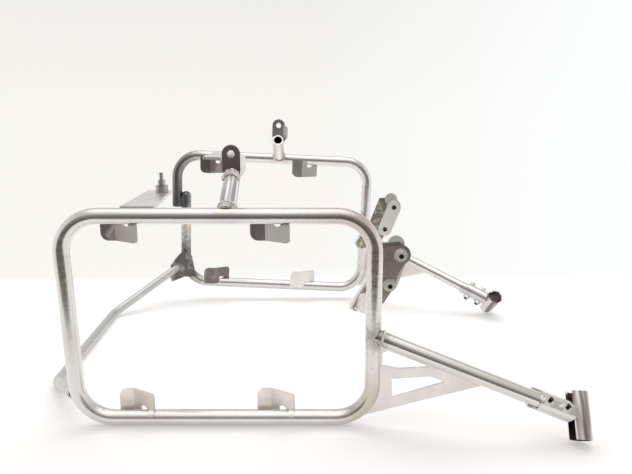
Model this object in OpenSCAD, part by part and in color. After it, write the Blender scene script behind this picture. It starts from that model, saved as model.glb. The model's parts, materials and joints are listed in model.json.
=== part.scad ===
// Pannier frame for a motorbike: two tube hoops joined by a rear brace,
// with hook tabs, upper ears, rear arms, front brackets and front struts.
// X runs to the front of the bike, Y from the right hoop to the left one, Z is up.
// The frame lies on the floor as it rests when it is off the bike.

/* [Hoops] */
// Outside diameter of the hoop tube
tube_d = 18; // [16:0.5:20]
// Outside length of a hoop
hoop_length = 364; // [350:1:380]
// Outside height of a hoop
hoop_height = 256.5; // [246:0.5:270]
// Bend radius of the hoop corners, at the middle of the tube
corner_r = 42; // [36:1:48]
// How far the right hoop's rear side leans forward at its foot
rear_rake = 5.6; // [0:0.1:8]
// Distance between the two hoops, middle to middle
hoop_gap = 474.6; // [460:0.1:490]
// How far the left hoop stands ahead of the right one
left_shift = 19.9; // [10:0.1:30]
// Height of the left hoop's rear foot over the floor
left_lift = 26; // [22:0.1:32]
// Twist of the left side, front down, in degrees
left_twist = 2.54; // [1.5:0.01:3.5]
// Height of the lower end of the lapped upper tube on the left hoop
lap_low = 152; // [140:1:160]
// Height of the upper end of the lapped lower tube on the left hoop
lap_high = 172; // [170:1:190]
// Diameter of the weld beads along the lap
lap_bead_d = 5; // [3:0.5:6]

/* [Hook tabs] */
// Thickness of the tab plate
tab_t = 3; // [2:0.5:4]
// Length of a tab along the tube
tab_length = 44; // [40:1:48]
// Length of the flat free part of a tab
tab_flat = 17; // [14:1:20]
// Height of a tab, measured from the middle of the tube
tab_height = 30; // [26:0.5:34]
// Gap between the tube and the free part, where the case hooks in
tab_gap = 1.8; // [1.2:0.1:3]
// Angle of the welded part to the tube, in degrees
tab_angle = 31; // [25:1:35]
// Radius of the free outer corner
tab_free_r = 9; // [5:0.5:12]
// Radius of the welded outer corner
tab_end_r = 3.5; // [2:0.5:5]
// Radius of the notch next to the weld
tab_notch_r = 4; // [3:0.5:5]
// Start of the rear top tabs, from the rear of the hoop
top_rear_tab = 42; // [38:1:60]
// Start of the front top tabs, behind the front tube
top_front_inset = 138; // [116:1:156]
// Start of the rear bottom tabs
low_rear_tab = 50; // [46:1:70]
// Start of the front bottom tabs, behind the front tube
low_front_inset = 134; // [116:1:156]

/* [Upper stub and ear] */
// Place of the stub along the top rail
stub_x = 183.5; // [170:0.5:195]
// How far the stub reaches inboard
stub_reach = 62; // [56:1:68]
// How far the stub rises over the middle of the rail
stub_rise = 37.8; // [32:0.1:44]
// Diameter of the stub
stub_d = 19; // [17:0.5:20]
// Bore of the stub
stub_bore_d = 13.6; // [12:0.1:14]
// Width of the ear plate
ear_width = 21; // [20:0.5:26]
// Thickness of the ear plate
ear_t = 3.5; // [3:0.5:5]
// Height of the ear hole over the hoop
ear_hole_rise = 53.2; // [48:0.1:60]
// Diameter of the ear hole
ear_hole_d = 8.6; // [8:0.1:9]
// Depth of the ear's side flange
ear_flange = 8; // [5:0.5:10]

/* [Rear arm] */
// Start of the arm along the top rail
arm_x = 68; // [60:1:76]
// Width of the arm at the rail
arm_width = 37; // [32:1:42]
// Width of the arm at its end
arm_end_width = 30; // [26:1:34]
// How far the arm reaches inboard
arm_reach = 128; // [118:1:138]
// Thickness of the arm plate
arm_t = 4; // [3:0.5:5]
// Distance of the stud from the arm's rear edge
stud_inset = 19; // [14:0.5:22]
// Distance of the stud from the arm's end
stud_margin = 14; // [11:0.5:18]
// Diameter of the stud
stud_d = 5; // [4:0.5:6]
// Length of the stud over the arm
stud_length = 24; // [22:0.5:30]
// Diameter of the bush on the stud
bush_d = 15.5; // [13:0.5:18]
// Height of the bush
bush_height = 8; // [6:0.5:9]
// Width of the stud's nut across its flats
stud_nut_flats = 8; // [8:0.5:10]
// Height of the stud's nut
stud_nut_height = 7; // [4:0.5:8]

/* [Front bracket] */
// Distance of the upper clamp bolt ahead of the hoop's front tube
bolt_ahead = 40; // [36:0.5:44]
// Depth of the upper clamp bolt below the top of the hoop
bolt_drop = 73.5; // [68:0.5:79]
// Distance between the two clamp bolts
bolt_pitch = 40.6; // [38:0.2:44]
// Lean of the bolt line from upright, in degrees
bolt_lean = 18.6; // [15:0.1:22]
// Distance of the bracket face from the hoop, inboard
face_y = 87; // [80:1:94]
// Thickness of the bracket plate
face_t = 4; // [3:0.5:5]
// Thickness of the outer clamp plate
outer_plate_t = 4.5; // [3.5:0.5:6]
// Thickness of the inner clamp plate
inner_plate_t = 6; // [5:0.5:8]
// Radius of the clamp plate ends
plate_r = 11.5; // [10:0.5:13]
// Diameter of the clamp bolts
clamp_bolt_d = 8; // [7:0.5:8.5]

/* [Front strut] */
// Diameter of the strut tube
strut_d = 17.5; // [16:0.5:17.5]
// Height where the strut meets the hoop
strut_z = 110; // [104:1:116]
// Distance of the right socket ahead of its hoop
right_socket_ahead = 226.5; // [214:0.5:238]
// Distance of the left socket ahead of its hoop
left_socket_ahead = 221; // [211:0.5:236]
// How far the right socket stands inboard of its hoop; below zero is outboard
right_socket_y = -33.5; // [-40:0.5:-26]
// How far the left socket stands inboard of its hoop
left_socket_y = 99.5; // [90:0.5:108]
// Lean of the right socket to the rear, in degrees; below zero is to the front
right_socket_lean = -4; // [-8:0.5:4]
// Lean of the left socket to the rear, in degrees; below zero is to the front
left_socket_lean = -1; // [-4:0.5:4]
// Turn of the right socket, top inboard, in degrees
right_socket_turn = 34; // [26:1:44]
// Turn of the left socket, top inboard, in degrees
left_socket_turn = 55; // [45:1:65]
// Outside diameter of the socket
socket_d = 25; // [24:0.5:27]
// Bore of the socket
socket_bore_d = 20.5; // [19:0.5:21.5]
// Length of the socket
socket_length = 52; // [48:0.5:56]
// Width of the slit along the socket, where the shells join it
socket_slit = 10; // [7:0.5:12]
// How far the slit is turned outboard from the strut, in degrees
slit_turn = 20; // [0:1:30]
// How far above its middle the strut meets the socket
socket_high = 0; // [-4:0.5:4]
// Outside diameter of the half shell that holds the strut's end
shell_d = 23; // [22:0.5:25]
// Length of the lower half shell, from the middle of the socket
shell_length = 57; // [50:1:62]
// Length of the upper half shell
cap_length = 47; // [46:1:52]
// Distance from the socket's middle to the first strut bolt
strut_bolt_start = 20.5; // [20.5:0.5:22]
// Distance between the two strut bolts
strut_bolt_pitch = 20; // [18:0.5:22]
// Diameter of the strut bolts
strut_bolt_d = 6; // [5:0.5:6.5]
// Thickness of the strut gusset
gusset_t = 4; // [3:0.5:5]
// Length of the gusset along the strut
gusset_length = 122; // [110:1:130]

/* [Rear brace] */
// Height of the plate at the brace's left end
brace_plate_height = 64; // [60:1:68]
// Diameter of the brace tube
brace_d = 14; // [12:0.5:15]
// Bend radius of the brace
brace_bend_r = 30; // [24:1:36]
// Rear end of the brace at the right bend
brace_right_x = -60; // [-66:1:-54]
// Right bend, across
brace_right_y = 97; // [90:1:104]
// Rear end of the brace at the left bend
brace_left_x = -71; // [-78:1:-64]
// Left bend, across
brace_left_y = 369; // [360:1:378]

/* [Hidden] */
$fn = 48;
tube_r = tube_d / 2;
rail_low = tube_r;
rail_high = hoop_height - tube_r;
front_x = hoop_length - tube_d;
top_front_tab = front_x - top_front_inset;
low_front_tab = front_x - low_front_inset;
// The left hoop's rear side is two tubes side by side
lap_rear_x = -2.5;
lap_front_x = lap_rear_x + 0.9 * tube_d;
// Middle of the outline, so that the origin lies below the middle of the box
middle_x = 261.7;
middle_y = 213.31;
bend_slim = 0.1;
// Lap of a bend into a straight length, in degrees
bend_lap = 1;
stub_angle = atan2(stub_rise, stub_reach);
hole_play = 0.4;
nut_flats = 10;
nut_height = 5;
arm_top = hoop_height + 1;
stud_x = arm_x + stud_inset;
stud_y = arm_reach - stud_margin;
ear_hole_z = hoop_height + ear_hole_rise;
washer_t = 1.5;
// How far the clamp bolts end short of the inner plate's face
bolt_recess = 4;
head_height = 6;
web_hole_d = 5;
tab_y = tube_r + tab_gap + tab_t / 2;
tab_slope = tab_length - tab_flat;
strut_top = [front_x, 0, strut_z];
brace_end = [-4, 10, 34];
brace_z = brace_d / 2;
gusset_y = brace_end[1];
bolt_a = [front_x + bolt_ahead, hoop_height - bolt_drop];
bolt_b = bolt_a - bolt_pitch * [sin(bolt_lean), cos(bolt_lean)];
side_steel = [0.78, 0.78, 0.76];
plate_steel = [0.66, 0.64, 0.61];
bolt_steel = [0.45, 0.45, 0.46];

function unit(v) = v / norm(v);

// Places of the sides

module right_side() {
    translate([-middle_x, -middle_y, 0]) children();
}

module left_side() {
    translate([left_shift - middle_x, hoop_gap - middle_y, left_lift])
        rotate([0, left_twist, 0])
            mirror([0, 1, 0])
                children();
}

// A point of the left side, in the right side's frame
function left_point(p) = [
    p[0] * cos(left_twist) + p[2] * sin(left_twist) + left_shift,
    hoop_gap - p[1],
    -p[0] * sin(left_twist) + p[2] * cos(left_twist) + left_lift
];

// Bent tubes

module rod(a, b, d) {
    way = b - a;
    translate(a)
        rotate([0, acos(way[2] / norm(way)), atan2(way[1], way[0])])
            cylinder(h = norm(way), d = d);
}

// How far a bend at b starts before the corner, between a and c
function bend_cut(a, b, c, r) =
    r * tan((180 - acos(unit(a - b) * unit(c - b))) / 2);

// The bend is a hair slimmer and reaches a little into both straight lengths
module bend(a, b, c, r, d) {
    to_a = unit(a - b);
    to_c = unit(c - b);
    half = acos(to_a * to_c) / 2;
    middle = b + unit(to_a + to_c) * r / sin(half);
    start = unit(b + to_a * bend_cut(a, b, c, r) - middle);
    axis = unit(cross(to_c, to_a));
    side = cross(axis, start);
    turn = 180 - 2 * half;
    multmatrix([
        [start[0], side[0], axis[0], middle[0]],
        [start[1], side[1], axis[1], middle[1]],
        [start[2], side[2], axis[2], middle[2]],
        [0, 0, 0, 1]
    ])
        rotate([0, 0, -bend_lap])
            rotate_extrude(angle = turn + 2 * bend_lap)
                translate([r, 0])
                    circle(d = d - bend_slim);
}

// A tube along an open line of points, all inner corners bent to radius r
module bent_tube(points, r, d) {
    last = len(points) - 1;
    for (i = [0 : last - 1]) {
        a = points[i];
        b = points[i + 1];
        way = unit(b - a);
        cut_a = i == 0 ? 0 : bend_cut(points[i - 1], a, b, r);
        cut_b = i == last - 1 ? 0 : bend_cut(a, b, points[i + 2], r);
        rod(a + way * cut_a, b - way * cut_b, d);
    }
    for (i = [1 : last - 1])
        bend(points[i - 1], points[i], points[i + 1], r, d);
}

// Hoops

module hoop_body(side) {
    if (side == "right") {
        start = [front_x / 2, 0, rail_high];
        bent_tube([
            start,
            [front_x, 0, rail_high],
            [front_x, 0, rail_low],
            [rear_rake, 0, rail_low],
            [0, 0, rail_high],
            start
        ], corner_r, tube_d);
    } else {
        bent_tube([
            [lap_rear_x, 0, lap_low],
            [lap_rear_x, 0, rail_high],
            [front_x, 0, rail_high],
            [front_x, 0, rail_low],
            [lap_front_x, 0, rail_low],
            [lap_front_x, 0, lap_high]
        ], corner_r, tube_d);
        translate([lap_front_x, 0, lap_high])
            sphere(d = tube_d);
        lap_beads();
    }
}

module lap_beads() {
    bead_x = (lap_rear_x + lap_front_x) / 2;
    for (y = [-1, 1] * tube_r * 0.55)
        rod([bead_x, y, lap_low + 1], [bead_x, y, lap_high], lap_bead_d);
}

// Hook tabs, drawn on the bottom rail with the free end at x

module tab_outline(length, r_free, r_end) {
    difference() {
        square([length, tab_height]);
        translate([0, tab_height - r_free])
            corner_cut(r_free);
        translate([length, tab_height - r_end])
            mirror([1, 0])
                corner_cut(r_end);
    }
}

// What a round outer corner of radius r leaves off
module corner_cut(r) {
    difference() {
        translate([-1, 0])
            square([r + 1, r + 1]);
        translate([r, 0])
            circle(r = r);
    }
}

module upright_plate(t) {
    rotate([90, 0, 0])
        linear_extrude(t, center = true)
            children();
}

module low_tab(x, wrap) {
    slope_length = tab_slope / cos(tab_angle);
    notch_x = tab_slope * 0.5;
    foot_width = 6.5;
    foot_t = 2.5;
    translate([x, 0, rail_low])
        difference() {
            union() {
                translate([0, tab_y, 0])
                    upright_plate(tab_t)
                        tab_outline(tab_flat + tab_t * 0.3, tab_free_r, 0.01);
                difference() {
                    translate([tab_flat, tab_y, 0])
                        rotate([0, 0, -tab_angle])
                            upright_plate(tab_t)
                                tab_outline(slope_length, 0.01, tab_end_r);
                    // Nothing of the plate beside the rail
                    translate([tab_flat + 2, -tube_d, -1])
                        cube([tab_length, tube_d, tube_r + 2]);
                    translate([tab_flat + notch_x, 0, tube_r])
                        rotate([90, 0, 0])
                            cylinder(h = 4 * tube_d, r = tab_notch_r, center = true);
                }
                // Foot that wraps over the rail
                translate([tab_length - foot_width, 0, 0])
                    rotate([0, 90, 0])
                        rotate([0, 0, 180])
                            rotate_extrude(angle = wrap)
                                translate([tube_r - 1, 0])
                                    square([foot_t + 1, foot_width]);
            }
            translate([-5, 0, 0])
                rotate([0, 90, 0])
                    cylinder(h = tab_length + 20, d = tube_d);
        }
}

module top_tab(x, wrap) {
    translate([0, 0, hoop_height])
        mirror([0, 0, 1])
            low_tab(x, wrap);
}

// Upper stub and ear

module stub_line(from, to, d) {
    way = [0, cos(stub_angle), sin(stub_angle)];
    rail = [stub_x, 0, rail_high];
    rod(rail + way * from, rail + way * to, d);
}

module stub() {
    full = norm([stub_reach, stub_rise]);
    difference() {
        union() {
            stub_line(tube_r * 0.5, full, stub_d);
            // Weld collar on the rail
            stub_line(tube_r * 0.4, tube_r + 2, stub_d + 3);
        }
        stub_line(tube_r + 4, full + 1, stub_bore_d);
        rail_cut(rail_high);
    }
}

module rail_cut(z) {
    translate([0, 0, z])
        rotate([0, 90, 0])
            cylinder(h = front_x, d = tube_d);
}

module ear() {
    face_y = stub_reach - 8;
    // The ear's foot ends where its face meets the top of the stub
    foot_z = rail_high + face_y * tan(stub_angle) + stub_d / 2;
    flange_x = stub_x + ear_width / 2 - ear_t / 2;
    difference() {
        union() {
            translate([stub_x, face_y, 0])
                upright_plate(ear_t) {
                    translate([0, ear_hole_z])
                        circle(d = ear_width);
                    translate([-ear_width / 2, foot_z])
                        square([ear_width, ear_hole_z - foot_z]);
                }
            // Side flange, splayed forward, with a tapered foot
            translate([flange_x, face_y, 0])
                rotate([0, 0, 40])
                    upright_plate(ear_t)
                        polygon([
                            [0, foot_z - 8],
                            [ear_flange, foot_z],
                            [ear_flange, ear_hole_z - 3],
                            [0, ear_hole_z + 1]
                        ]);
        }
        stub_line(0, 2 * stub_reach, stub_d);
        translate([stub_x, face_y, ear_hole_z])
            rotate([90, 0, 0])
                cylinder(h = 3 * ear_t, d = ear_hole_d, center = true);
    }
}

// Rear arm and what stands on it

module arm_outline() {
    end_left = arm_x - 2;
    end_right = end_left + arm_end_width;
    difference() {
        polygon([
            [arm_x, 0],
            [arm_x + arm_width, 0],
            [end_right, arm_reach],
            [end_left, arm_reach]
        ]);
        translate([stud_x, stud_y])
            circle(d = stud_d + hole_play);
        translate([stud_x + 8, stud_y - 6])
            circle(d = 4);
    }
}

module rear_arm() {
    difference() {
        translate([0, 0, arm_top - arm_t])
            linear_extrude(arm_t)
                arm_outline();
        rail_cut(rail_high);
        // Clear of the tube's far half
        translate([0, -1, hoop_height - 2 * arm_t])
            cube([front_x, 3, 3 * arm_t]);
    }
}

module on_stud(z) {
    translate([stud_x, stud_y, arm_top + z])
        children();
}

module arm_bush() {
    on_stud(0)
        difference() {
            cylinder(h = bush_height, d = bush_d);
            translate([0, 0, -1])
                cylinder(h = bush_height + 2, d = stud_d + hole_play);
        }
}

module arm_stud() {
    head = 3;
    on_stud(-arm_t - head) {
        cylinder(h = head, d = 2 * stud_d);
        cylinder(h = head + arm_t + stud_length, d = stud_d);
    }
}

module arm_nut() {
    on_stud(bush_height)
        hex_nut(stud_d, stud_nut_flats, stud_nut_height);
}

module hex_nut(bore, flats, height) {
    difference() {
        cylinder(h = height, d = flats / cos(30), $fn = 6);
        translate([0, 0, -1])
            cylinder(h = height + 2, d = bore);
    }
}

// Front bracket: a face for the clamp plates and a web back to the hoop

web_foot = [front_x - 19.5, bolt_a[1] - 69];
web_top = [front_x + 9, bolt_a[1] + 12];
hump = bolt_a + [-5.5, 13];
hump_r = 10.5;

module bracket_face_outline() {
    polygon([
        web_foot,
        web_foot + [3, -6],
        web_foot + [12, -7],
        [bolt_b[0] - 7, bolt_b[1] - 26],
        [bolt_b[0] + 6, bolt_b[1] - 2],
        hump + [hump_r, -3],
        hump + [0, hump_r],
        web_top
    ]);
    translate(hump)
        circle(r = hump_r);
}

module clamp_holes(d) {
    for (p = [bolt_a, bolt_b])
        translate([p[0], 0, p[1]])
            rotate([-90, 0, 0])
                cylinder(h = 2 * face_y, d = d);
}

module bracket() {
    run = web_top - web_foot;
    lean = atan2(run[0], run[1]);
    run_length = norm(run);
    // The part of the web's edge that reaches the hoop
    weld_low = 0.44 * run_length;
    weld_high = 0.98 * run_length;
    difference() {
        union() {
            translate([0, face_y + face_t / 2, 0])
                upright_plate(face_t)
                    bracket_face_outline();
            translate([web_foot[0], 0, web_foot[1]])
                rotate([0, lean, 0])
                    rotate([0, -90, 0])
                        linear_extrude(face_t, center = true)
                            polygon([
                                [0, face_y + face_t],
                                [run_length, face_y + face_t],
                                [run_length - face_t, 0.77 * face_y],
                                [weld_high, 3],
                                [weld_low, 3]
                            ]);
        }
        clamp_holes(clamp_bolt_d + hole_play);
        front_tube(tube_d);
        translate([web_foot[0] + 11.5, face_y - web_hole_d, web_foot[1] + 2 * web_hole_d])
            rotate([0, 90, 0])
                cylinder(h = 8 * web_hole_d, d = web_hole_d, center = true);
    }
}

module front_tube(d) {
    translate([front_x, 0, rail_low])
        cylinder(h = rail_high - rail_low, d = d);
}

module clamp_plate(y, t, bore) {
    lean_way = bolt_b - bolt_a;
    turn = atan2(lean_way[1], lean_way[0]);
    difference() {
        translate([bolt_a[0], y + t / 2, bolt_a[1]])
            upright_plate(t)
                rotate(turn) {
                    circle(r = plate_r);
                    translate([bolt_pitch, 0])
                        circle(r = plate_r);
                    translate([0, -plate_r])
                        square([bolt_pitch, 2 * plate_r]);
                }
        clamp_holes(bore);
    }
}

// The outer plate tapers to a point below the lower bolt
module outer_clamp_plate() {
    head_r = plate_r + 1;
    difference() {
        translate([0, face_y - outer_plate_t / 2, 0])
            upright_plate(outer_plate_t) {
                polygon([
                    [bolt_b[0] - 7, bolt_b[1] - 24.5],
                    [bolt_b[0] + 3, bolt_b[1] - 8],
                    [bolt_b[0] + 12.5, bolt_b[1] + 18],
                    bolt_a + [head_r, -1],
                    bolt_a + [0, head_r],
                    bolt_a + [-22, 9],
                    [bolt_b[0] - 18, bolt_b[1] + 4]
                ]);
                translate(bolt_a)
                    circle(r = head_r);
            }
        clamp_holes(clamp_bolt_d + hole_play);
    }
}

module inner_clamp_plate() {
    clamp_plate(face_y + face_t, inner_plate_t, clamp_bolt_d);
}

module at_clamp_bolts(y) {
    for (p = [bolt_a, bolt_b])
        translate([p[0], y, p[1]])
            rotate([-90, 0, 0])
                children();
}

module clamp_washers() {
    at_clamp_bolts(face_y - outer_plate_t - washer_t)
        difference() {
            cylinder(h = washer_t, d = 2 * clamp_bolt_d + 1);
            translate([0, 0, -1])
                cylinder(h = washer_t + 2, d = clamp_bolt_d + hole_play);
        }
}

module clamp_bolts() {
    seat = face_y - outer_plate_t - washer_t;
    shank = washer_t + outer_plate_t + face_t + inner_plate_t - bolt_recess;
    at_clamp_bolts(seat - head_height)
        difference() {
            union() {
                cylinder(h = head_height, d = 1.6 * clamp_bolt_d);
                cylinder(h = head_height + shank, d = clamp_bolt_d);
            }
            translate([0, 0, -1])
                cylinder(h = 5, d = 0.85 * clamp_bolt_d, $fn = 6);
        }
}

// Front strut: its own frame has X along the strut, from the hoop's tube

function turn_of(side) = side == "right" ? -right_socket_turn : -left_socket_turn;
function lean_of(side) = side == "right" ? right_socket_lean : left_socket_lean;
// The way a socket's middle line points, bottom to top
function socket_up(side) = [
    -cos(turn_of(side)) * sin(lean_of(side)),
    -sin(turn_of(side)),
    cos(turn_of(side)) * cos(lean_of(side))
];
function socket_height(side) = socket_up(side)[2] * socket_length / 2
    + sqrt(1 - pow(socket_up(side)[2], 2)) * socket_d / 2;
// Height of the floor below the left socket, in the left side's frame, and a hair over it
floor_gap = 0.3;
left_socket_x = front_x + left_socket_ahead;
function left_floor() = floor_gap + (left_socket_x * sin(left_twist) - left_lift) / cos(left_twist);
function socket_at(side) = side == "right"
    ? [front_x + right_socket_ahead, right_socket_y, socket_height(side)]
    : [left_socket_x, left_socket_y, socket_height(side) + left_floor()];
// Where the strut's middle line meets the socket's middle line
function strut_end(side) = socket_at(side) + socket_high * socket_up(side);
function strut_way(side) = strut_end(side) - strut_top;
function strut_dip(side) = -asin(strut_way(side)[2] / norm(strut_way(side)));
function strut_turn(side) = atan2(strut_way(side)[1], strut_way(side)[0]);

// The heads of the strut bolts face outboard, square to the socket and the strut
bolt_turn = 90;
shell_seat = shell_d / 2 - 0.8;
shell_split = 0.3;

module strut_frame(side) {
    translate(strut_top)
        rotate([0, strut_dip(side), strut_turn(side)])
            rotate([turn_of(side), 0, 0])
                children();
}

module along_x() {
    rotate([0, 90, 0])
        children();
}

function strut_stop(side) = norm(strut_way(side)) - socket_d / 2 - 1;

module strut(side) {
    difference() {
        strut_frame(side)
            difference() {
                along_x()
                    cylinder(h = strut_stop(side), d = strut_d);
                strut_bolt_holes(side);
            }
        front_tube(tube_d);
        socket_tube(side, socket_d, 0);
    }
}

module strut_bolt_places(side) {
    for (i = [0, 1])
        rotate([bolt_turn, 0, 0])
            translate([norm(strut_way(side)) - strut_bolt_start - i * strut_bolt_pitch, 0, 0])
                children();
}

module strut_bolt_holes(side) {
    strut_bolt_places(side)
        cylinder(h = 2 * shell_d, d = strut_bolt_d + hole_play, center = true);
}

// Half of a sleeve on the strut, flattened where the bolts bear on it
module half_shell(side, length, facing) {
    full = norm(strut_way(side));
    difference() {
        rotate([bolt_turn + facing, 0, 0])
            difference() {
                translate([full - length, 0, 0])
                    along_x()
                        cylinder(h = length, d = shell_d);
                translate([0, -shell_d, -shell_split])
                    cube([full + 1, 2 * shell_d, shell_d]);
                translate([0, -shell_d, -shell_seat - shell_d])
                    cube([full + 1, 2 * shell_d, shell_d]);
            }
        along_x()
            cylinder(h = strut_stop(side), d = strut_d);
        strut_bolt_holes(side);
    }
}

module socket(side) {
    difference() {
        socket_tube(side, socket_d, 0);
        socket_tube(side, socket_bore_d, 1);
        in_socket(side)
            rotate([0, 0, slit_turn])
                translate([-socket_d, -socket_slit / 2, -socket_length])
                    cube([socket_d, socket_slit, 2 * socket_length]);
    }
}

module cradle(side) {
    difference() {
        strut_frame(side)
            half_shell(side, shell_length, 0);
        socket_tube(side, socket_d, 1);
    }
}

module strut_cap(side) {
    difference() {
        strut_frame(side)
            half_shell(side, cap_length, 180);
        socket_tube(side, socket_d + 1, 1);
    }
}

module in_socket(side) {
    translate(socket_at(side))
        rotate([turn_of(side), -lean_of(side), 0])
            children();
}

module socket_tube(side, d, extra) {
    in_socket(side)
        cylinder(h = socket_length + 2 * extra, d = d, center = true);
}

module strut_bolts(side) {
    grip = shell_seat + nut_height + 2;
    head = strut_bolt_d - 1;
    strut_frame(side)
        strut_bolt_places(side)
            difference() {
                union() {
                    translate([0, 0, -grip])
                        cylinder(h = grip + shell_seat, d = strut_bolt_d);
                    translate([0, 0, shell_seat])
                        cylinder(h = head, d = 1.65 * strut_bolt_d);
                }
                translate([0, 0, shell_seat + 1.5])
                    cylinder(h = head, d = 0.8 * strut_bolt_d, $fn = 6);
            }
}

module strut_nuts(side) {
    strut_frame(side)
        strut_bolt_places(side)
            translate([0, 0, -shell_seat - nut_height])
                hex_nut(strut_bolt_d, nut_flats, nut_height);
}

// Gusset under the strut, in the upright plane through the strut

module gusset_outline(drop) {
    // Height of the bar between the two openings, and of the gusset's tip
    bar_z = strut_z - 44;
    tip_z = strut_z - drop * gusset_length - tube_r;
    foot_z = strut_z - 95;
    upper_end = 0.53 * gusset_length;
    lower_end = 0.67 * gusset_length;
    difference() {
        polygon([
            [-tube_r + 1, strut_z],
            [-tube_r + 1, foot_z - 3],
            [0, foot_z],
            [0.54 * gusset_length, foot_z + 0.55 * (tip_z - foot_z)],
            [gusset_length - 10, tip_z - 3.5],
            [gusset_length, tip_z],
            [gusset_length, tip_z + tube_r]
        ]);
        polygon([
            [tube_r + 2, bar_z + 8],
            [tube_r + 2, bar_z + 24],
            [tube_r + 8, bar_z + 27.5],
            [upper_end, strut_z - drop * upper_end - tube_r - 1.5],
            [tube_r + 22, bar_z + 6]
        ]);
        polygon([
            [tube_r + 13, bar_z - 7],
            [upper_end, bar_z - 1],
            [lower_end, bar_z - 7],
            [tube_r + 14, bar_z - 30]
        ]);
    }
}

module strut_gusset(side) {
    way = strut_way(side);
    drop = -way[2] / norm([way[0], way[1]]);
    difference() {
        translate([front_x, 0, 0])
            rotate([0, 0, strut_turn(side)])
                upright_plate(gusset_t)
                    gusset_outline(drop);
        hoop_body(side);
        strut_frame(side)
            along_x()
                cylinder(h = norm(way), d = strut_d);
    }
}

// Rear brace between the two rear lower corners

module brace_plate() {
    difference() {
        translate([0, gusset_y, 0])
            upright_plate(gusset_t)
                difference() {
                    polygon(brace_plate_height * [
                        [0.19, 1.14],
                        [-0.05, 0.86],
                        [-0.2, 0.64],
                        [-0.23, 0.34],
                        [-0.17, 0.14],
                        [0.2, 0.31],
                        [0.53, 0.33],
                        [0.41, 0.94]
                    ]);
                    translate([brace_end[0], brace_end[2]])
                        circle(d = 6);
                }
        hoop_body("left");
    }
}

module rear_brace() {
    right_bend = [brace_right_x, brace_right_y, brace_z];
    left_bend = [brace_left_x, brace_left_y, brace_z];
    left_end = left_point(brace_end);
    past = 14;
    right_tip = brace_end + past * unit(brace_end - right_bend);
    left_tip = left_end + past * unit(left_end - left_bend);
    difference() {
        bent_tube([right_tip, right_bend, left_bend, left_tip], brace_bend_r, brace_d);
        // Open right end, cut upright beside the hoop
        translate([-60, gusset_y - 42, -40])
            cube([120, 40, 120]);
        rod(right_tip, right_tip + 45 * unit(right_bend - right_tip), brace_d - 4);
        hoop_body("right");
        // The left end lies flat on the inner face of its plate
        translate([left_shift, hoop_gap, left_lift])
            rotate([0, left_twist, 0])
                translate([-60, -gusset_y - gusset_t / 2, -60])
                    cube([120, 40, 160]);
    }
}

color(side_steel) right_side() hoop_body("right");  // right_hoop
color(side_steel) left_side() hoop_body("left");  // left_hoop
color(plate_steel) right_side() top_tab(top_rear_tab, 25);  // right_top_rear_hook
color(plate_steel) right_side() top_tab(top_front_tab, 25);  // right_top_front_hook
color(plate_steel) right_side() low_tab(low_rear_tab, 65);  // right_low_rear_hook
color(plate_steel) right_side() low_tab(low_front_tab, 65);  // right_low_front_hook
color(plate_steel) left_side() top_tab(top_rear_tab, 25);  // left_top_rear_hook
color(plate_steel) left_side() top_tab(top_front_tab, 25);  // left_top_front_hook
color(plate_steel) left_side() low_tab(low_rear_tab, 65);  // left_low_rear_hook
color(plate_steel) left_side() low_tab(low_front_tab, 65);  // left_low_front_hook
color(side_steel) right_side() stub();  // right_stub
color(side_steel) left_side() stub();  // left_stub
color(plate_steel) right_side() ear();  // right_ear
color(plate_steel) left_side() ear();  // left_ear
color(plate_steel) right_side() rear_arm();  // right_rear_arm
color(plate_steel) left_side() rear_arm();  // left_rear_arm
color(bolt_steel) right_side() arm_bush();
color(bolt_steel) right_side() arm_stud();
color(bolt_steel) right_side() arm_nut();
color(plate_steel) right_side() bracket();  // right_bracket
color(plate_steel) left_side() bracket();  // left_bracket
color(plate_steel) right_side() outer_clamp_plate();  // right_outer_clamp_plate
color(plate_steel) left_side() outer_clamp_plate();  // left_outer_clamp_plate
color(plate_steel) right_side() inner_clamp_plate();  // right_inner_clamp_plate
color(plate_steel) left_side() inner_clamp_plate();  // left_inner_clamp_plate
color(bolt_steel) right_side() clamp_bolts();  // right_clamp_bolts
color(bolt_steel) left_side() clamp_bolts();  // left_clamp_bolts
color(bolt_steel) right_side() clamp_washers();  // right_clamp_washers
color(bolt_steel) left_side() clamp_washers();  // left_clamp_washers
color(side_steel) right_side() strut("right");  // right_strut
color(side_steel) left_side() strut("left");  // left_strut
color(plate_steel) right_side() strut_gusset("right");  // right_strut_gusset
color(plate_steel) left_side() strut_gusset("left");  // left_strut_gusset
color(side_steel) right_side() socket("right");  // right_socket
color(side_steel) left_side() socket("left");  // left_socket
color(side_steel) right_side() cradle("right");  // right_cradle
color(side_steel) left_side() cradle("left");  // left_cradle
color(side_steel) right_side() strut_cap("right");  // right_strut_cap
color(side_steel) left_side() strut_cap("left");  // left_strut_cap
color(bolt_steel) right_side() strut_bolts("right");  // right_strut_bolts
color(bolt_steel) left_side() strut_bolts("left");  // left_strut_bolts
color(bolt_steel) right_side() strut_nuts("right");  // right_strut_nuts
color(bolt_steel) left_side() strut_nuts("left");  // left_strut_nuts
color(side_steel) right_side() rear_brace();
color(plate_steel) left_side() brace_plate();
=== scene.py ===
import json
import math
import random

import bmesh
import bpy
from mathutils import Matrix, Vector


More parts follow.
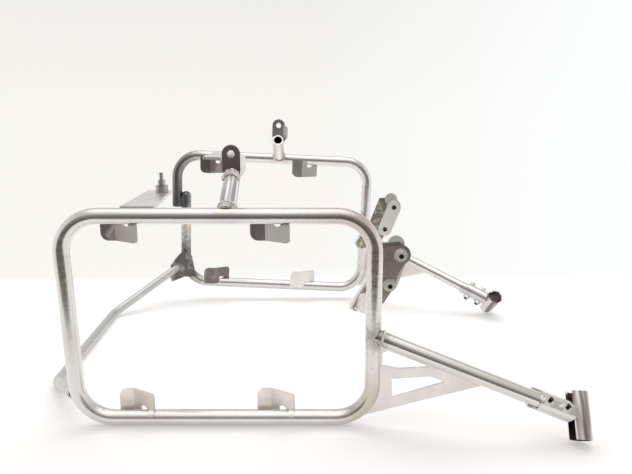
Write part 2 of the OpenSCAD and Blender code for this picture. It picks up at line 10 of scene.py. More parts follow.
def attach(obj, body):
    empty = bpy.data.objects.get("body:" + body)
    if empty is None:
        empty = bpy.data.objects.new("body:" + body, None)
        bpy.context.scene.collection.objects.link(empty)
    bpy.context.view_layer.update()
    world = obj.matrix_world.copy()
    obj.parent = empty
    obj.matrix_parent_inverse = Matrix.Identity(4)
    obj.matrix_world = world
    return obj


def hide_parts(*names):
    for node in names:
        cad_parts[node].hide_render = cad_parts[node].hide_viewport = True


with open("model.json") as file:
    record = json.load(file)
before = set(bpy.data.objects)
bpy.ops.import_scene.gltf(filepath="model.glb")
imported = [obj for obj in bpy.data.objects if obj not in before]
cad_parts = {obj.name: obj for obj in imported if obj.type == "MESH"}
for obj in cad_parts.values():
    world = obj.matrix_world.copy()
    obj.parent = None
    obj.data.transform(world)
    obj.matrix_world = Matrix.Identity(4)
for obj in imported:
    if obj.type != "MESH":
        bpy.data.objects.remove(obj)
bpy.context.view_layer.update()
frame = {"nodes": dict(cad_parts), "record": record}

# Camera, matched to the photograph
LENS = 35.37
SENSOR = 36.0
CLIP_START = 0.01
CAMERA_AT = (0.01939, -0.87597, 0.37083)
CAMERA_TILT = math.radians(77.514)

# Each side has its own millimetres: X to the front, Y inboard from the hoop's middle plane, Z up.
# The near side stands as it is. The far one is mirrored, turned and lifted.
MM_PER_M = 1000
MIDDLE = Vector((261.7, 213.31, 0.0))
FAR_PLACE = Vector((19.9, 474.6, 26.0))
FAR_TURN = math.radians(2.54)


def near(x, y, z):
    """A place on the near side, in the frame's metres."""
    return (Vector((x, y, z)) - MIDDLE) / MM_PER_M


def far(x, y, z):
    """The same place on the far side."""
    turned = Vector((
        x * math.cos(FAR_TURN) + z * math.sin(FAR_TURN),
        -y,
        -x * math.sin(FAR_TURN) + z * math.cos(FAR_TURN),
    ))
    return (turned + FAR_PLACE - MIDDLE) / MM_PER_M


SIDES = {"right": near, "left": far}

# Middle lines of the hoop's front tube and top rail, and where the strut and the stub leave them.
# The stub's rise is an angle in radians, and its lean from upright is in degrees.
FRONT_X = 346.0
RAIL_HIGH = 247.5
STRUT_HIGH = 110.0
STUB_X = 183.5
STUB_RISE = math.atan2(37.8, 62.0)
STUB_LEAN = 58.6
SOCKET_AT = {
    "right": near(FRONT_X + 226.5, -33.5, 28.53),
    "left": far(FRONT_X + 221.0, 99.5, 24.578),
}
# How far each socket's top rakes forward, and turns away from the camera or, below zero, towards it,
# in degrees
SOCKET_RAKE = {"right": 4.0, "left": 3.54}
SOCKET_TURN = {"right": 34.0, "left": -55.0}


def socket_way(side):
    rake = math.radians(SOCKET_RAKE[side])
    turn = math.radians(SOCKET_TURN[side])
    return Vector((math.sin(rake) * math.cos(turn), math.sin(turn), math.cos(rake) * math.cos(turn)))


def strut_axis(side, at):
    """Start and direction of a side's strut."""
    start = at(FRONT_X, 0, STRUT_HIGH)
    return start, (SOCKET_AT[side] - start).normalized()


def stub_axis(at):
    """Start and direction of a side's stub."""
    start = at(STUB_X, 0, RAIL_HIGH)
    way = at(STUB_X, math.cos(STUB_RISE), RAIL_HIGH + math.sin(STUB_RISE)) - start
    return start, way.normalized()


# Node helpers

def new_material(name):
    material = bpy.data.materials.new(name)
    material.use_nodes = True
    nodes = material.node_tree.nodes
    nodes.clear()
    return material, nodes, material.node_tree.links


def add(nodes, kind, **inputs):
    """A node with some of its inputs set; an underscore stands for a space in an input's name."""
    node = nodes.new(kind)
    for key, value in inputs.items():
        node.inputs[key.replace("_", " ")].default_value = value
    return node


def opaque(colour):
    return (*colour, 1.0)


def show(nodes, links, shader, kind="ShaderNodeOutputMaterial"):
    """Links a shader to the output."""
    output = nodes.new(kind)
    links.new(shader, output.inputs["Surface"])


def object_place(nodes):
    return nodes.new("ShaderNodeTexCoord").outputs["Object"]


def split(nodes, links, vector):
    parts = nodes.new("ShaderNodeSeparateXYZ")
    links.new(vector, parts.inputs["Vector"])
    return parts.outputs


def noise(nodes, links, vector, scale, detail, roughness):
    node = add(nodes, "ShaderNodeTexNoise", Scale=scale, Detail=detail, Roughness=roughness)
    links.new(vector, node.inputs["Vector"])
    return node.outputs["Fac"]


def ramp(nodes, links, value, stops):
    node = nodes.new("ShaderNodeValToRGB")
    elements = node.color_ramp.elements
    while len(elements) < len(stops):
        elements.new(0.5)
    for element, (place, colour) in zip(elements, stops):
        element.position = place
        element.color = opaque(colour)
    links.new(value, node.inputs["Fac"])
    return node.outputs["Color"]


def map_range(nodes, links, value, low, high, to_low, to_high, easing="LINEAR"):
    node = nodes.new("ShaderNodeMapRange")
    node.interpolation_type = easing
    node.inputs["From Min"].default_value = low
    node.inputs["From Max"].default_value = high
    node.inputs["To Min"].default_value = to_low
    node.inputs["To Max"].default_value = to_high
    links.new(value, node.inputs["Value"])
    return node.outputs["Result"]


def mapped(nodes, links, vector, scale=(1, 1, 1), rotation=(0, 0, 0)):
    node = add(nodes, "ShaderNodeMapping", Scale=scale, Rotation=rotation)
    links.new(vector, node.inputs["Vector"])
    return node.outputs["Vector"]


def distance_to(nodes, links, spot):
    span = nodes.new("ShaderNodeVectorMath")
    span.operation = "DISTANCE"
    span.inputs[1].default_value = spot
    links.new(object_place(nodes), span.inputs[0])
    return span.outputs["Value"]


def blend(nodes, links, factor, first, second):
    """Mixes two colours; each may be a colour or a socket."""
    mix = nodes.new("ShaderNodeMix")
    mix.data_type = "RGBA"
    for value, socket in ((factor, "Factor"), (first, "A"), (second, "B")):
        if isinstance(value, bpy.types.NodeSocket):
            links.new(value, mix.inputs[socket])
        else:
            mix.inputs[socket].default_value = opaque(value)
    return mix.outputs["Result"]


def combine(nodes, links, kind, first, second):
    """Combines a socket with a number or another socket."""
    node = nodes.new("ShaderNodeMath")
    node.operation = kind
    links.new(first, node.inputs[0])
    if isinstance(second, bpy.types.NodeSocket):
        links.new(second, node.inputs[1])
    else:
        node.inputs[1].default_value = second
    return node.outputs["Value"]


def mix_shaders(nodes, links, factor, first, second):
    mix = nodes.new("ShaderNodeMixShader")
    if isinstance(factor, bpy.types.NodeSocket):
        links.new(factor, mix.inputs["Fac"])
    else:
        mix.inputs["Fac"].default_value = factor
    links.new(first, mix.inputs[1])
    links.new(second, mix.inputs[2])
    return mix.outputs["Shader"]


def roughen(nodes, links, shader, height, strength, depth):
    """Bumps a shader's surface by a height."""
    bump = add(nodes, "ShaderNodeBump", Strength=strength, Distance=depth)
    links.new(height, bump.inputs["Height"])
    links.new(bump.outputs["Normal"], shader.inputs["Normal"])


# Metals

STEEL = (0.74, 0.725, 0.70)
WARM_STEEL = (0.84, 0.80, 0.765)
# Bright tone of the streaks: a painted highlight stripe
PAINTED_HIGHLIGHT_STREAK = (0.92, 0.9, 0.89)
TUBE_STAIN = (0.62, 0.57, 0.52)
SOOT = (0.085, 0.085, 0.09)
SCORCHED = (0.17, 0.165, 0.17)
BLUED = (0.24, 0.215, 0.19)
STRAW = (0.52, 0.43, 0.33)
PURPLED = (0.5, 0.34, 0.29)
# Dark and middle tone of a tube's streaks: painted reflection stripes over some heat tint. The near stub's
# darker tones than the far stub's are painted reflection too
BROWNED = ((0.28, 0.24, 0.23), (0.6, 0.55, 0.53))
GREYED = ((0.38, 0.37, 0.38), (0.6, 0.59, 0.59))
PALE = ((0.66, 0.65, 0.61), (0.84, 0.83, 0.8))

# How the brush marks stretch along the three axes
EVEN = (1, 1, 1)
ALONG_TUBE = (0.5, 3, 3)
ACROSS_STRUT = (3, 3, 0.5)
BRUSH_SCALE = 60.0
BRUSH_DEPTH = 0.0005
GRAIN_SCALE = 180.0
STREAK_SCALE = 210.0
STREAK_STRETCH = (1, 1, 0.05)
FINE_SCALE = 400.0
FINE_DEPTH = 0.0004
# Most of a noise's values lie between these
NOISE_SPAN = (0.3, 0.7)
# The noise is between these where a stain goes from none to full
STAIN_EDGE = (0.48, 0.72)
# The noise at the dark, the middle and the bright tone of the streaks
STREAK_STOPS = (0.36, 0.48, 0.6)
STREAK_BUMP = 0.08
# Share of its radius inside which a burn is full, how ragged its edge is, and how much it dulls
BURN_CORE = 0.35
BURN_RAGGED = (0.7, 1.35)
BURN_DULLS = 0.3


def metal(name, colour, stain, rough=(0.3, 0.42), bump=0.32, brush=EVEN, stained=0.5, patch=14.0,
          metallic=1.0, burns=()):
    """Worn steel: a base colour with faint stains, brushed roughness and burnt spots at welds.

    Rough is the least and the most roughness, stained is how strong the stains are, and patch is
    their scale. Each burn is a place, a radius in metres, a colour and an amount.
    """
    material, nodes, links = new_material(name)
    shader = add(nodes, "ShaderNodeBsdfPrincipled", Metallic=metallic)
    show(nodes, links, shader.outputs["BSDF"])
    place = object_place(nodes)
    patches = noise(nodes, links, place, patch, 5.0, 0.6)
    spots = map_range(nodes, links, patches, *STAIN_EDGE, 0.0, stained)
    lines = noise(nodes, links, mapped(nodes, links, place, brush), BRUSH_SCALE, 3.0, 0.6)
    roughness = map_range(nodes, links, lines, *NOISE_SPAN, *rough)
    shade = blend(nodes, links, spots, colour, stain)
    if burns:
        grain = noise(nodes, links, place, GRAIN_SCALE, 4.0, 0.65)
        edge = map_range(nodes, links, grain, *NOISE_SPAN, *BURN_RAGGED)
    for spot, radius, burnt, amount in burns:
        span = combine(nodes, links, "MULTIPLY", distance_to(nodes, links, spot), edge)
        factor = map_range(nodes, links, span, BURN_CORE * radius, radius, amount, 0.0)
        shade = blend(nodes, links, factor, shade, burnt)
        dulled = combine(nodes, links, "MULTIPLY", factor, BURN_DULLS)
        roughness = combine(nodes, links, "MAXIMUM", roughness, dulled)
    links.new(shade, shader.inputs["Base Color"])
    links.new(roughness, shader.inputs["Roughness"])
    roughen(nodes, links, shader, lines, bump, BRUSH_DEPTH)
    return material


def reflection_streaked_metal(name, lean, tones, roughness):
    """Steel with streaks along a tube that leans about the frame's X, in degrees: painted reflection
    stripes, dark and bright, over some heat tint in its base colour.
    """
    material, nodes, links = new_material(name)
    shader = add(nodes, "ShaderNodeBsdfPrincipled", Metallic=1.0, Roughness=roughness)
    show(nodes, links, shader.outputs["BSDF"])
    place = object_place(nodes)
    upright = mapped(nodes, links, place, rotation=(math.radians(lean), 0, 0))
    drawn = mapped(nodes, links, upright, STREAK_STRETCH)
    streaks = noise(nodes, links, drawn, STREAK_SCALE, 2.0, 0.5)
    shade = ramp(nodes, links, streaks, list(zip(STREAK_STOPS, (*tones, PAINTED_HIGHLIGHT_STREAK))))
    links.new(shade, shader.inputs["Base Color"])
    fine = noise(nodes, links, place, FINE_SCALE, 3.0, 0.5)
    roughen(nodes, links, shader, fine, STREAK_BUMP, FINE_DEPTH)
    return material


TUBE_BURNS = [
    # The far hoop's lap and what is above and below it
    (far(2, 0, 163), 0.042, SOOT, 0.97),
    (far(0, 0, 205), 0.060, SCORCHED, 0.85),
    (far(10, 0, 240), 0.050, BLUED, 0.6),
    (far(0, 0, 115), 0.035, STRAW, 0.5),
    (far(0, 0, 60), 0.060, SOOT, 0.85),
    (far(16, 0, 22), 0.040, BLUED, 0.7),
    # Where the struts and stubs are welded on
    (near(FRONT_X + 4, 0, STRUT_HIGH), 0.024, BLUED, 0.75),
    (far(FRONT_X + 4, 0, STRUT_HIGH), 0.024, BLUED, 0.6),
    (near(STUB_X, 0, RAIL_HIGH + 6), 0.024, STRAW, 0.35),
    (far(STUB_X, 0, RAIL_HIGH + 6), 0.024, STRAW, 0.4),
    # The near hoop's front corners
    (near(FRONT_X - 30, 0, RAIL_HIGH), 0.075, PURPLED, 0.35),
    (near(FRONT_X, 0, 20), 0.06, STRAW, 0.5),
]

tube_steel = metal("tube_steel", STEEL, TUBE_STAIN, rough=(0.18, 0.28), bump=0.08, brush=ALONG_TUBE,
                   burns=TUBE_BURNS)
strut_steel = metal("strut_steel", STEEL, TUBE_STAIN, rough=(0.1, 0.18), bump=0.08, brush=ACROSS_STRUT,
                    burns=TUBE_BURNS)
brace_steel = metal("brace_steel", (0.6, 0.6, 0.59), (0.72, 0.71, 0.7), rough=(0.38, 0.52), bump=0.4,
                    patch=40.0)
# Stubs and sockets: their streaks are painted reflection stripes over some heat tint
right_stub_steel = reflection_streaked_metal("right_stub_steel", STUB_LEAN, GREYED, 0.32)
left_stub_steel = reflection_streaked_metal("left_stub_steel", -STUB_LEAN, PALE, 0.45)
right_socket_steel = reflection_streaked_metal("right_socket_steel", SOCKET_TURN["right"], BROWNED, 0.12)
left_socket_steel = reflection_streaked_metal("left_socket_steel", SOCKET_TURN["left"], BROWNED, 0.12)
cradle_steel = metal("cradle_steel", (0.66, 0.63, 0.62), (0.36, 0.31, 0.29), rough=(0.12, 0.22), bump=0.16,
                     patch=60.0)

plate_steel = metal("plate_steel", WARM_STEEL, (0.5, 0.45, 0.4))
hook_steel = metal("hook_steel", (0.45, 0.43, 0.415), (0.4, 0.36, 0.33), rough=(0.28, 0.4))
browned_hook = metal("browned_hook", (0.2, 0.18, 0.17), (0.62, 0.58, 0.53), rough=(0.28, 0.42), bump=0.4,
                     patch=40.0)
arm_steel = metal("arm_steel", (0.72, 0.705, 0.68), (0.5, 0.46, 0.42))
dark_plate = metal("dark_plate", (0.36, 0.31, 0.305), (0.25, 0.22, 0.2), rough=(0.3, 0.45))
sooty_plate = metal("sooty_plate", (0.15, 0.145, 0.145), (0.6, 0.57, 0.54), rough=(0.35, 0.5), bump=0.64,
                    stained=0.8, patch=70.0)
# Painted shade: the outer clamp plates and the near bracket face are darkened for the shade they lie in,
# over a purplish tint of their own
shaded_outer_steel = metal("shaded_outer_steel", (0.43, 0.375, 0.37), (0.3, 0.25, 0.24), rough=(0.25, 0.4))
bracket_steel = metal("bracket_steel", (0.8, 0.78, 0.73), (0.5, 0.46, 0.4), rough=(0.32, 0.45), bump=0.4,
                      metallic=0.8)
mottled_steel = metal("mottled_steel", (0.3, 0.29, 0.25), (0.8, 0.76, 0.66), rough=(0.25, 0.45), bump=0.64,
                      stained=0.95, patch=120.0)
clamp_steel = metal("clamp_steel", (0.86, 0.85, 0.82), (0.66, 0.63, 0.58), rough=(0.4, 0.52),
                    metallic=0.8)

bolt_steel = metal("bolt_steel", (0.8, 0.79, 0.77), (0.5, 0.48, 0.45), rough=(0.18, 0.3), bump=0.16,
                   metallic=0.6)
dull_bolt = metal("dull_bolt", (0.42, 0.41, 0.4), (0.6, 0.58, 0.56), rough=(0.3, 0.45))
weld_steel = metal("weld_steel", (0.74, 0.7, 0.67), (0.34, 0.29, 0.25), rough=(0.2, 0.4), bump=0.4,
                   stained=0.8, patch=90.0)
# Painted shade for the insides of bores, holes and wrench recesses
painted_bore_shade = metal("painted_bore_shade", (0.1, 0.08, 0.07), (0.26, 0.2, 0.17), rough=(0.4, 0.6))

SLOT_LOOKS = {
    "tube_steel": tube_steel,
    "matte_plate": plate_steel,
    "dark_plate": dark_plate,
    "bracket_plate": bracket_steel,
    "clamp_plate": clamp_steel,
    "fastener_steel": bolt_steel,
}
# Nodes that look different from the rest of their slot
OWN_LOOKS = {
    "right_top_rear_hook": hook_steel,
    "right_top_front_hook": hook_steel,
    "left_top_rear_hook": browned_hook,
    "left_top_front_hook": hook_steel,
    "left_low_rear_hook": browned_hook,
    "right_stub": right_stub_steel,
    "left_stub": left_stub_steel,
    "right_strut": strut_steel,
    "left_strut": strut_steel,
    "right_rear_arm": arm_steel,
    "left_rear_arm": arm_steel,
    "arm_bush": dull_bolt,
    "arm_stud": dull_bolt,
    "arm_nut": dull_bolt,
    # Painted reflection: the near ear takes the dark plate material, darker than the far ear, for the dark
    # room in front of it, over a brownish tint of its own
    "right_ear": dark_plate,
    "left_ear": hook_steel,
    "rear_brace": brace_steel,
    "brace_plate": sooty_plate,
    # Painted shade: the outer clamp plates take the darkened outer steel
    "right_outer_clamp_plate": shaded_outer_steel,
    "left_outer_clamp_plate": shaded_outer_steel,
    "right_socket": right_socket_steel,
    "left_socket": left_socket_steel,
    "right_cradle": cradle_steel,
    "left_cradle": cradle_steel,
}
SHARP_ANGLE = math.radians(35)


def dress(mesh, material):
    """Gives a mesh one material and smooth faces with sharp edges."""
    mesh.materials.clear()
    mesh.materials.append(material)
    for face in mesh.polygons:
        face.use_smooth = True
    mesh.set_sharp_from_angle(angle=SHARP_ANGLE)


SLOTS = {part["node"]: part["material_slot"] for part in frame["record"]["subparts"]}
for name, piece in frame["nodes"].items():
    dress(piece.data, OWN_LOOKS.get(name, SLOT_LOOKS[SLOTS[name]]))


# Painted shade inside bores, holes and wrench recesses, by radii in metres

CLAMP_BOLT_R = 0.00405
STRUT_BOLT_R = 0.00305
CLAMP_HOLE_R = 0.0046
STUB_BORE_R = 0.0069
SOCKET_BORE_R = 0.0105
ACROSS = Vector((0, 1, 0))


def repaint(name, material, chosen):
    """Gives the faces of a node that a test picks a second material."""
    mesh = frame["nodes"][name].data
    mesh.materials.append(material)
    for face in mesh.polygons:
        if chosen(face):
            face.material_index = 1


def darken(name, axes, radius):
    """Darkens the faces within a radius of any of the axes, each a start and a direction, with painted
    shade.
    """

    def inside(face):
        spans = [(face.center - start, way) for start, way in axes]
        return any((span - way * span.dot(way)).length < radius for span, way in spans)

    repaint(name, painted_bore_shade, inside)


def island_centres(mesh):
    """Middles of the separate solids in a mesh, by welding what shares an edge or a place."""
    root = {}

    def find(key):
        while root[key] != key:
            root[key] = root[root[key]]
            key = root[key]
        return key

    spots = [tuple(round(v, 6) for v in vertex.co) for vertex in mesh.vertices]
    for spot in spots:
        root[spot] = spot
    for edge in mesh.edges:
        root[find(spots[edge.vertices[0]])] = find(spots[edge.vertices[1]])
    groups = {}
    for spot in set(spots):
        groups.setdefault(find(spot), []).append(Vector(spot))
    centres = []
    for points in groups.values():
        low = Vector([min(p[k] for p in points) for k in range(3)])
        high = Vector([max(p[k] for p in points) for k in range(3)])
        centres.append((low + high) / 2)
    return centres


def bolt_axes(name, way):
    return [(spot, way) for spot in island_centres(frame["nodes"][name].data)]


for side, at in SIDES.items():
    along_strut = strut_axis(side, at)[1]
    across_strut = socket_way(side).cross(along_strut).normalized()
    clamp_axes = bolt_axes(side + "_clamp_bolts", ACROSS)
    darken(side + "_clamp_bolts", clamp_axes, CLAMP_BOLT_R)
    darken(side + "_inner_clamp_plate", clamp_axes, CLAMP_HOLE_R)
    darken(side + "_strut_bolts", bolt_axes(side + "_strut_bolts", across_strut), STRUT_BOLT_R)
    darken(side + "_socket", [(SOCKET_AT[side], socket_way(side))], SOCKET_BORE_R)
    darken(side + "_stub", [stub_axis(at)], STUB_BORE_R)


SLANT = 0.5


def slanted_forward(face):
    return face.normal.x > SLANT and abs(face.normal.y) > SLANT


# Painted highlight: the near ear's side flange, which faces the light, gets the bright plate material,
# unlike its face
repaint("right_ear", plate_steel, slanted_forward)


# Brackets: slimmer than in the solids, with the narrow arm that the near side shows

FACE_Y = 87.0
PLATE_T = 4.0
BOLT_A = (FRONT_X + 40.0, 183.0)
BOLT_B = (BOLT_A[0] - 12.95, BOLT_A[1] - 38.48)
# The round hump behind the upper bolt, as X and Z, and how far it stands inboard of the face
HUMP = (BOLT_A[0] - 5.5, BOLT_A[1] + 13.0)
HUMP_R = 10.5
HUMP_STEP = 0.2
HUMP_CORNERS = 24
# The face's rear edge, with its bend, as X and Z
FACE_FOOT = (325.4, 115.0)
FACE_BEND = (346.0, 152.0)
FACE_TOP = (361.0, 197.0)
# The face's corners, round its foot, the lower bolt and the hump
FACE = [
    FACE_FOOT,
    (FACE_FOOT[0] + 3, FACE_FOOT[1] - 6),
    (FACE_FOOT[0] + 12, FACE_FOOT[1] - 7),
    (BOLT_B[0] - 7, BOLT_B[1] - 26),
    (BOLT_B[0] + 6, BOLT_B[1] - 2),
    (HUMP[0] + HUMP_R, HUMP[1] - 4),
    (HUMP[0] + 4, HUMP[1] + 3),
    FACE_TOP,
    FACE_BEND,
]
# The flange bends outboard from the face's rear edge, between foot and bend
FLANGE_FROM_Y = FACE_Y + 3
FLANGE_TO_Y = 74.0
FLANGE_T = 2.0
# The arm back to the tube: each corner as X, Y and Z, the first two on the face, and its thickness
ARM = [(328.0, 90.0, 111.0), (333.5, 90.0, 130.0), (339.0, 2.0, 160.0), (337.0, 2.0, 134.0)]
ARM_STEP = (PLATE_T, 0.0, -1.0)


def mesh_piece(name, build, material):
    """A piece that rides on the frame, from a function that fills a bmesh."""
    shape = bmesh.new()
    build(shape)
    bmesh.ops.recalc_face_normals(shape, faces=shape.faces)
    mesh = bpy.data.meshes.new(name)
    shape.to_mesh(mesh)
    shape.free()
    dress(mesh, material)
    piece = bpy.data.objects.new(name, mesh)
    bpy.context.scene.collection.objects.link(piece)
    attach(piece, "root")
    return piece


def prism_piece(name, at, ring, step, material):
    """A plate from its corners in a side's millimetres and the step that makes it thick."""
    ends = [ring, [tuple(a + b for a, b in zip(corner, step)) for corner in ring]]

    def fill(shape):
        low, high = [[shape.verts.new(at(*corner)) for corner in end] for end in ends]
        shape.faces.new(low)
        shape.faces.new(high)
        for i in range(len(ring)):
            j = (i + 1) % len(ring)
            shape.faces.new((low[i], low[j], high[j], high[i]))

    return mesh_piece(name, fill, material)


def circle(centre, radius, count):
    turns = [2 * math.pi * i / count for i in range(count)]
    return [(centre[0] + radius * math.cos(turn), centre[1] + radius * math.sin(turn)) for turn in turns]


def bracket(side, at):
    thick = (0.0, PLATE_T, 0.0)
    face = [(x, FACE_Y, z) for x, z in FACE]
    hump = [(x, FACE_Y + HUMP_STEP, z) for x, z in circle(HUMP, HUMP_R, HUMP_CORNERS)]
    flange = [
        (FACE_FOOT[0], FLANGE_TO_Y, FACE_FOOT[1]),
        (FACE_FOOT[0], FLANGE_FROM_Y, FACE_FOOT[1]),
        (FACE_BEND[0], FLANGE_FROM_Y, FACE_BEND[1]),
        (FACE_BEND[0], FLANGE_TO_Y, FACE_BEND[1]),
    ]
    flange_thick = (-FLANGE_T, 0.0, FLANGE_T / 2)
    # Painted shade: the near face, turned to the camera, takes the darkened outer steel; the far face is
    # mottled
    face_look = shaded_outer_steel if side == "right" else mottled_steel
    face_piece = prism_piece(side + "_bracket_face", at, face, thick, face_look)
    prism_piece(side + "_bracket_hump", at, hump, thick, bracket_steel)
    prism_piece(side + "_bracket_flange", at, flange, flange_thick, bracket_steel)
    prism_piece(side + "_bracket_arm", at, ARM, ARM_STEP, weld_steel)
    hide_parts(side + "_bracket")


for side, at in SIDES.items():
    bracket(side, at)


# Weld beads

# Rings round a tube: distance along it, radius, spacing and size of the beads, in metres
STUB_RING = (0.012, 0.0104, 0.0022, 0.0016)
STRUT_RING = (0.0105, 0.0090, 0.0024, 0.0017)
# Rows of beads over the stub's top, at the ear's foot, in a side's millimetres
EAR_WELD_Y = (53.5, 50.5, 47.5)
EAR_WELD_X = (-8.6, -6.5, -4.3, -2.1, 0.0, 2.1, 4.3, 6.5, 8.6)
STUB_R = 9.5
EAR_BEAD = 0.0026
# How much the beads differ in size and place, as a share of their size
BEAD_SPREAD = 0.15


def beads(name, points, size):
    """A row of overlapping drops, each a little different."""
    chance = random.Random(len(points))

    def fill(shape):
        for point in points:
            drop = size * chance.uniform(1 - BEAD_SPREAD, 1 + BEAD_SPREAD)
            shift = Vector([chance.uniform(-BEAD_SPREAD, BEAD_SPREAD) * size for _ in range(3)])
            spot = Matrix.Translation(point + shift)
            bmesh.ops.create_icosphere(shape, subdivisions=2, radius=drop, matrix=spot)

    mesh_piece(name, fill, weld_steel)


def ring_beads(name, axis, ring):
    start, way = axis
    along, radius, spacing, size = ring
    first = way.orthogonal().normalized()
    second = way.cross(first)
    count = int(2 * math.pi * radius / spacing)
    middle = start + way * along
    beads(name, [middle + x * first + y * second for x, y in circle((0, 0), radius, count)], size)


def ear_beads(side, at):
    points = []
    for y in EAR_WELD_Y:
        for x in EAR_WELD_X:
            rise = math.sqrt(STUB_R ** 2 - x ** 2) / math.cos(STUB_RISE)
            points.append(at(STUB_X + x, y, RAIL_HIGH + y * math.tan(STUB_RISE) + rise))
    beads(side + "_ear_weld", points, EAR_BEAD)


for side, at in SIDES.items():
    ring_beads(side + "_stub_weld", stub_axis(at), STUB_RING)
    ear_beads(side, at)
    ring_beads(side + "_strut_weld", strut_axis(side, at), STRUT_RING)


# Floor, in metres

FLOOR_FRONT = -0.60
FLOOR_BACK = 0.4
FLOOR_FADE = 0.06
FLOOR_SIDE = 2.2
FLOOR_DROP = 0.0005
PAPER = (0.83, 0.82, 0.81)
PAPER_GLOW = (1.0, 0.995, 0.99)
# Share of the paper's white that shadows leave alone
GLOW_SHARE = 0.33


def floor_material():
    """White paper that keeps the shadow of the frame and fades out at its far edge."""
    material, nodes, links = new_material("floor_paper")
    lit = add(nodes, "ShaderNodeBsdfDiffuse", Color=opaque(PAPER))
    glow = add(nodes, "ShaderNodeEmission", Color=opaque(PAPER_GLOW), Strength=1.0)
    paper = mix_shaders(nodes, links, GLOW_SHARE, lit.outputs["BSDF"], glow.outputs["Emission"])
    clear = nodes.new("ShaderNodeBsdfTransparent")
    back = split(nodes, links, object_place(nodes))["Y"]
    fade = map_range(nodes, links, back, FLOOR_BACK - FLOOR_FADE, FLOOR_BACK, 0.0, 1.0)
    show(nodes, links, mix_shaders(nodes, links, fade, paper, clear.outputs["BSDF"]))
    return material


def make_floor():
    mesh = bpy.data.meshes.new("floor")
    corners = [
        (-FLOOR_SIDE, FLOOR_FRONT, -FLOOR_DROP),
        (FLOOR_SIDE, FLOOR_FRONT, -FLOOR_DROP),
        (FLOOR_SIDE, FLOOR_BACK, -FLOOR_DROP),
        (-FLOOR_SIDE, FLOOR_BACK, -FLOOR_DROP),
    ]
    mesh.from_pydata(corners, [], [tuple(range(len(corners)))])
    mesh.materials.append(floor_material())
    floor = bpy.data.objects.new("floor", mesh)
    bpy.context.scene.collection.objects.link(floor)


make_floor()


# World

# What the metal reflects, by the height of the direction (its Z, from -1 to 1)
ROOM_FRONT = [
    (-1.0, (0.10, 0.09, 0.085)),
    (-0.5, (0.10, 0.09, 0.085)),
    (-0.25, (0.12, 0.105, 0.10)),
    (0.0, (0.20, 0.18, 0.175)),
    (0.25, (0.30, 0.28, 0.27)),
    (0.47, (0.44, 0.42, 0.41)),
    (0.68, (0.85, 0.83, 0.82)),
    (0.8, (1.7, 1.7, 1.7)),
    (1.0, (1.8, 1.8, 1.8)),
]
ROOM_SIDES = [
    (-1.0, (0.95, 0.94, 0.93)),
    (0.1, (1.0, 0.995, 0.985)),
    (0.45, (0.85, 0.845, 0.84)),
    (0.75, (0.62, 0.61, 0.60)),
    (0.93, (1.5, 1.5, 1.5)),
    (1.0, (1.8, 1.8, 1.8)),
]
# The direction's Y where the front of the room starts and is full
FRONT_EDGE = (-0.45, -0.68)
# What the camera sees behind the frame: at the left by the height of the direction, at the right plain
BACKDROP = [
    (-0.3, (1.0, 1.0, 1.0)),
    (-0.284, (1.0, 1.0, 0.985)),
    (-0.262, (0.945, 0.935, 0.895)),
    (-0.02, (0.93, 0.92, 0.88)),
    (0.12, (0.87, 0.86, 0.825)),
    (0.16, (0.855, 0.847, 0.82)),
]
RIGHT_BACKDROP = (0.98, 0.992, 1.0)
# The direction's X between which the left backdrop turns into the right one
BACKDROP_EDGE = (0.0, 0.42)


def by_height(nodes, links, height, stops):
    """Colour ramp over the height of a direction, from -1 to 1."""
    place = map_range(nodes, links, height, -1.0, 1.0, 0.0, 1.0)
    return ramp(nodes, links, place, [((z + 1) / 2, colour) for z, colour in stops])


def background(nodes, links, colour):
    node = add(nodes, "ShaderNodeBackground", Strength=1.0)
    links.new(colour, node.inputs["Color"])
    return node.outputs["Background"]


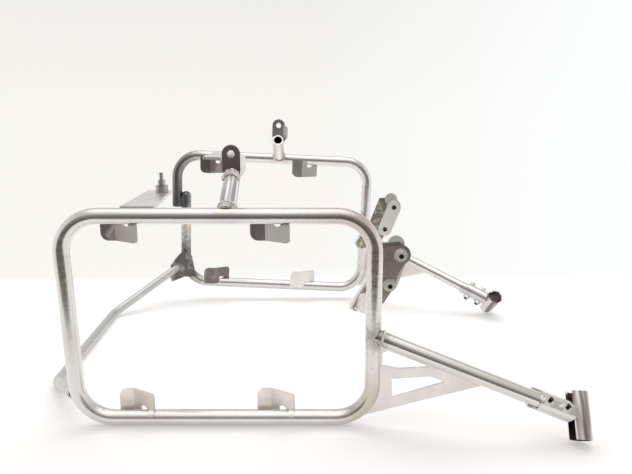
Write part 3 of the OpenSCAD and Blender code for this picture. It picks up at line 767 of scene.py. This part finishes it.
def make_world():
    """A pale room that is darker behind the camera; the camera itself sees a white sweep."""
    world = bpy.data.worlds.new("studio")
    bpy.context.scene.world = world
    world.use_nodes = True
    nodes, links = world.node_tree.nodes, world.node_tree.links
    nodes.clear()
    way = split(nodes, links, nodes.new("ShaderNodeTexCoord").outputs["Generated"])
    front = map_range(nodes, links, way["Y"], FRONT_EDGE[1], FRONT_EDGE[0], 1.0, 0.0, "SMOOTHSTEP")
    sides_colour = by_height(nodes, links, way["Z"], ROOM_SIDES)
    front_colour = by_height(nodes, links, way["Z"], ROOM_FRONT)
    room = background(nodes, links, blend(nodes, links, front, sides_colour, front_colour))

    left_colour = by_height(nodes, links, way["Z"], BACKDROP)
    to_right = map_range(nodes, links, way["X"], *BACKDROP_EDGE, 0.0, 1.0)
    sweep = background(nodes, links, blend(nodes, links, to_right, left_colour, RIGHT_BACKDROP))

    seen = nodes.new("ShaderNodeLightPath").outputs["Is Camera Ray"]
    show(nodes, links, mix_shaders(nodes, links, seen, room, sweep), "ShaderNodeOutputWorld")


make_world()


# Light and camera

SOFTBOX_AT = Vector((0.1, 0.75, 1.4))
SOFTBOX_AIM = Vector((0.1, -0.1, 0.1))
SOFTBOX_SIZE = (2.4, 0.9)
SOFTBOX_POWER = 18


def make_softbox():
    light = bpy.data.lights.new("top_softbox", "AREA")
    light.shape = "RECTANGLE"
    light.size, light.size_y = SOFTBOX_SIZE
    light.energy = SOFTBOX_POWER
    lamp = bpy.data.objects.new("top_softbox", light)
    lamp.location = SOFTBOX_AT
    lamp.rotation_mode = "QUATERNION"
    lamp.rotation_quaternion = (SOFTBOX_AIM - SOFTBOX_AT).to_track_quat("-Z", "Y")
    # The tubes mirror the room alone, so their top edges stay grey
    lamp.visible_glossy = False
    bpy.context.scene.collection.objects.link(lamp)


def make_camera():
    data = bpy.data.cameras.new("camera")
    data.lens = LENS
    data.sensor_width = SENSOR
    data.clip_start = CLIP_START
    camera = bpy.data.objects.new("camera", data)
    camera.location = CAMERA_AT
    camera.rotation_euler = (CAMERA_TILT, 0, 0)
    bpy.context.scene.collection.objects.link(camera)
    bpy.context.scene.camera = camera


make_softbox()
make_camera()
bpy.context.scene.view_settings.view_transform = "Standard"
